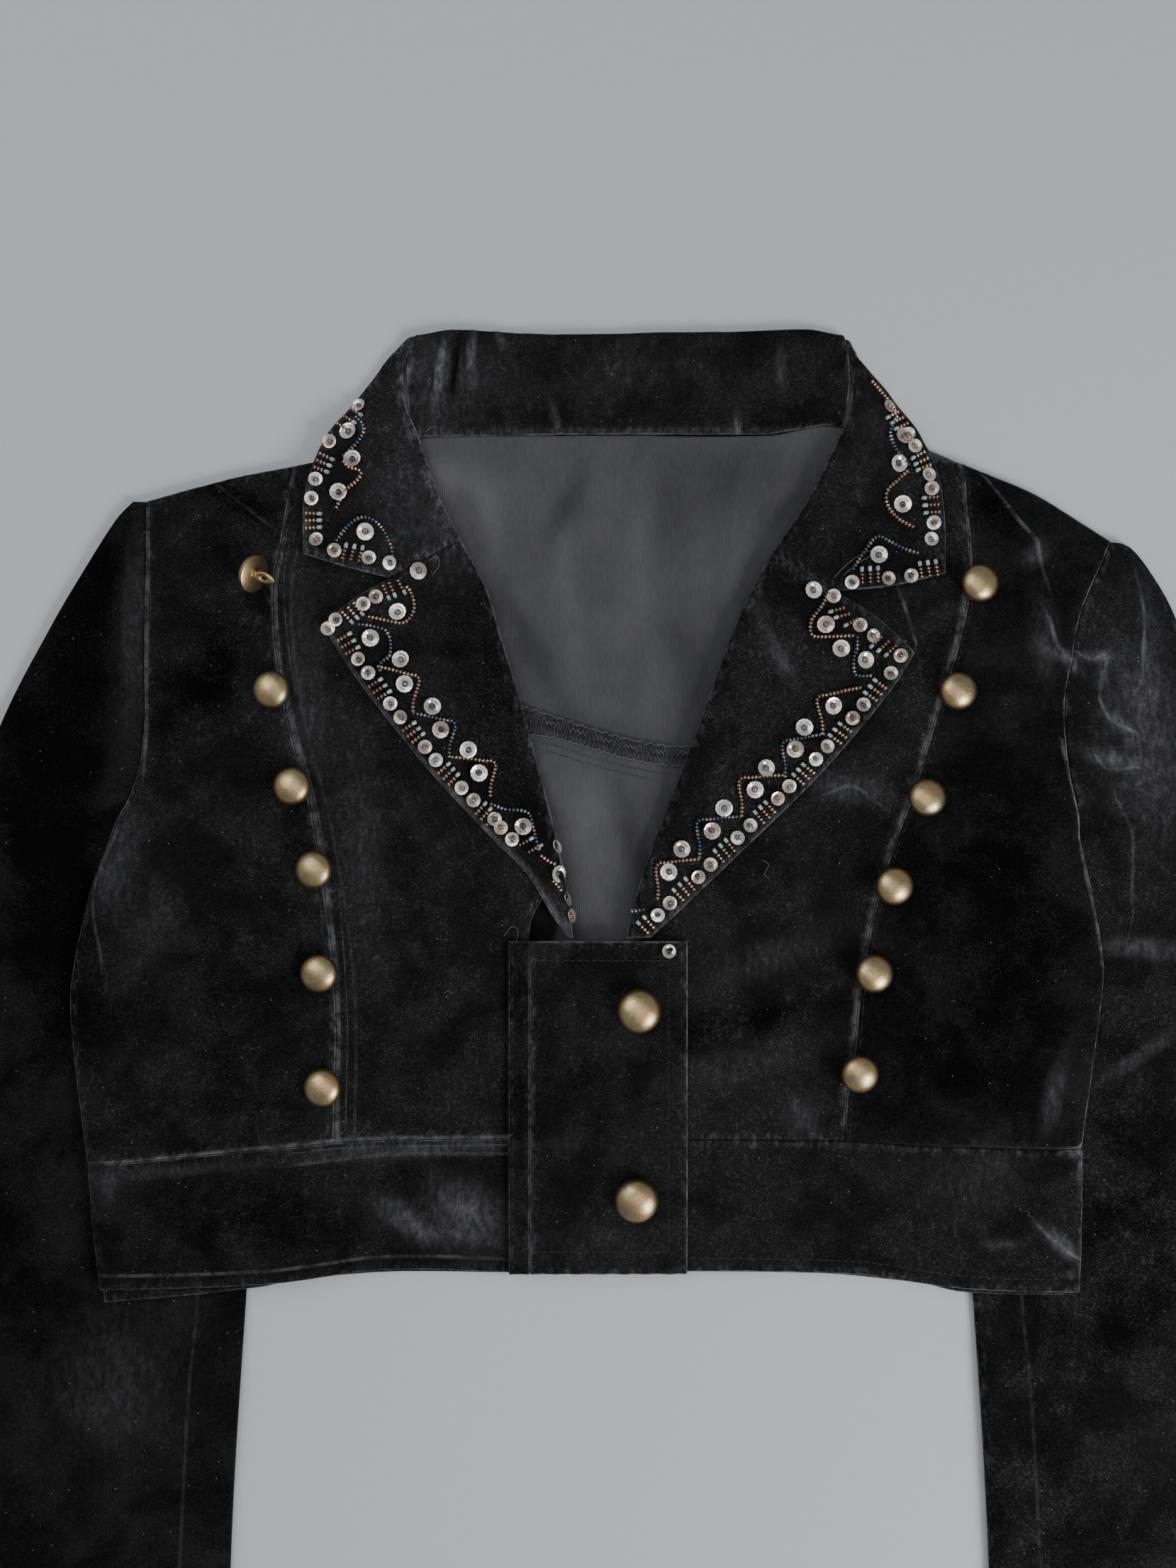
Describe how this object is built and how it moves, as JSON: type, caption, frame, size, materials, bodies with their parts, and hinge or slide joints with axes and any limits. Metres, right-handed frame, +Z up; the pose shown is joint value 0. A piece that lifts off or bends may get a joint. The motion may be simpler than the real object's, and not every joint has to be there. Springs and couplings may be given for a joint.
{
  "type": "velour blazer",
  "caption": "Cropped black velvet blazer laid flat face up, with notched beaded lapels, domed metal buttons, a placket and waistband, and long set-in sleeves beside the body.",
  "frame": {"origin": "middle of the garment's bounding box, at the surface it lies on", "axes": "+X towards the viewer's right, +Y from the cuffs to the collar, +Z up out of the laid garment"},
  "size_m": [0.5411, 0.642, 0.0229],
  "materials": {
    "velvet": "black velvet pile, crushed in places",
    "brass": "antique brass, dull polish",
    "wrong_side": "charcoal knit, the cloth's inner side",
    "thread": "matt sewing thread",
    "copper_beads": "metallic lined glass seed beads",
    "iris_beads": "iridescent blue and purple glass seed beads",
    "pale_beads": "pale grey-green glass bugle beads",
    "sequins": "pearly champagne cupped sequins"
  },
  "bodies": {
    "root": {"back_waistband": "velvet", "back_lower": "velvet", "back_upper": "velvet", "front_left_side": "velvet", "front_left_centre": "velvet", "front_right_side": "velvet", "front_right_centre": "velvet", "waistband_left": "velvet", "waistband_right": "velvet", "placket": "velvet", "placket_strip": "velvet", "lapel_left": "velvet", "lapel_right": "velvet", "collar_stand": "velvet", "collar_fall_left": "velvet", "collar_fall_right": "velvet", "collar_fall_back": "velvet", "sleeve_left_under": "velvet", "sleeve_left_top": "velvet", "sleeve_left_strip": "velvet", "sleeve_right_under": "velvet", "sleeve_right_top": "velvet", "sleeve_right_strip": "velvet", "button_left_1": "brass", "button_left_2": "brass", "button_left_3": "brass", "button_left_4": "brass", "button_left_5": "brass", "button_left_6": "brass", "button_right_1": "brass", "button_right_2": "brass", "button_right_3": "brass", "button_right_4": "brass", "button_right_5": "brass", "button_right_6": "brass", "button_placket_1": "brass", "button_placket_2": "brass"}
  },
  "joints": []
}
